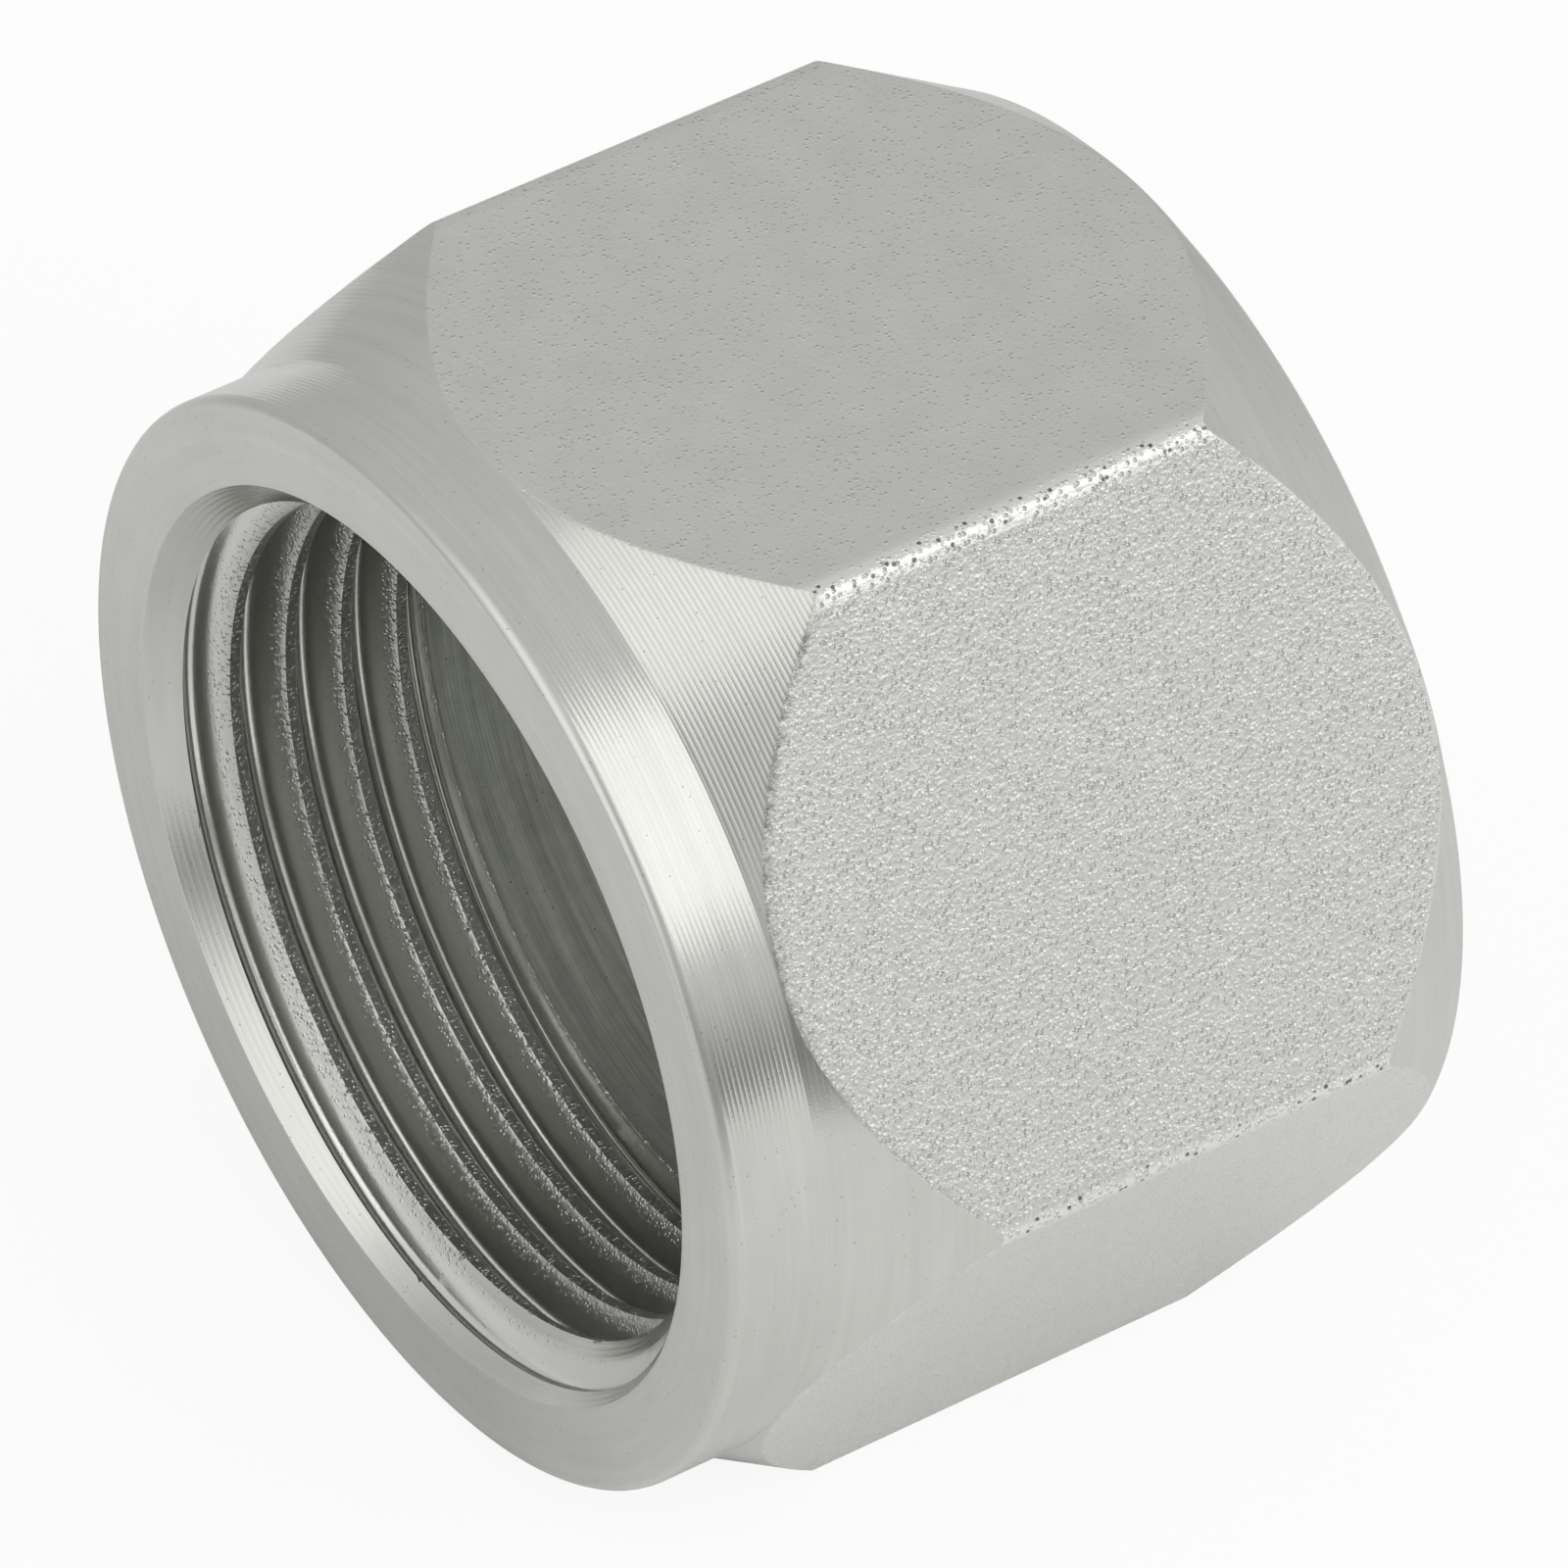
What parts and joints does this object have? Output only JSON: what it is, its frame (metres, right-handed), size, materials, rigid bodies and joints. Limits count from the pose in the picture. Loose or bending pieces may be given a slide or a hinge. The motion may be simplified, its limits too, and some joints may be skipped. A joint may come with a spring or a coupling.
{
  "type": "threaded protection cap",
  "caption": "Hexagonal closed-end screw cap with a turned collar and an internal pipe thread, for closing and protecting a threaded port or stub.",
  "frame": {"origin": "under the middle of the cap, on the surface that it lies on (centre of the lowest hexagon flat)", "axes": "thread axis along Y with the open mouth towards -Y, one hexagon flat down on Z = 0 and one up, corners of the hexagon along X"},
  "size_m": [0.0368, 0.0238, 0.032],
  "materials": {
    "metal": "bright pale grey metal, fine grain on the flats and turned rings on the collar and cones"
  },
  "bodies": {
    "root": {"protection_cap": "metal"}
  },
  "joints": []
}
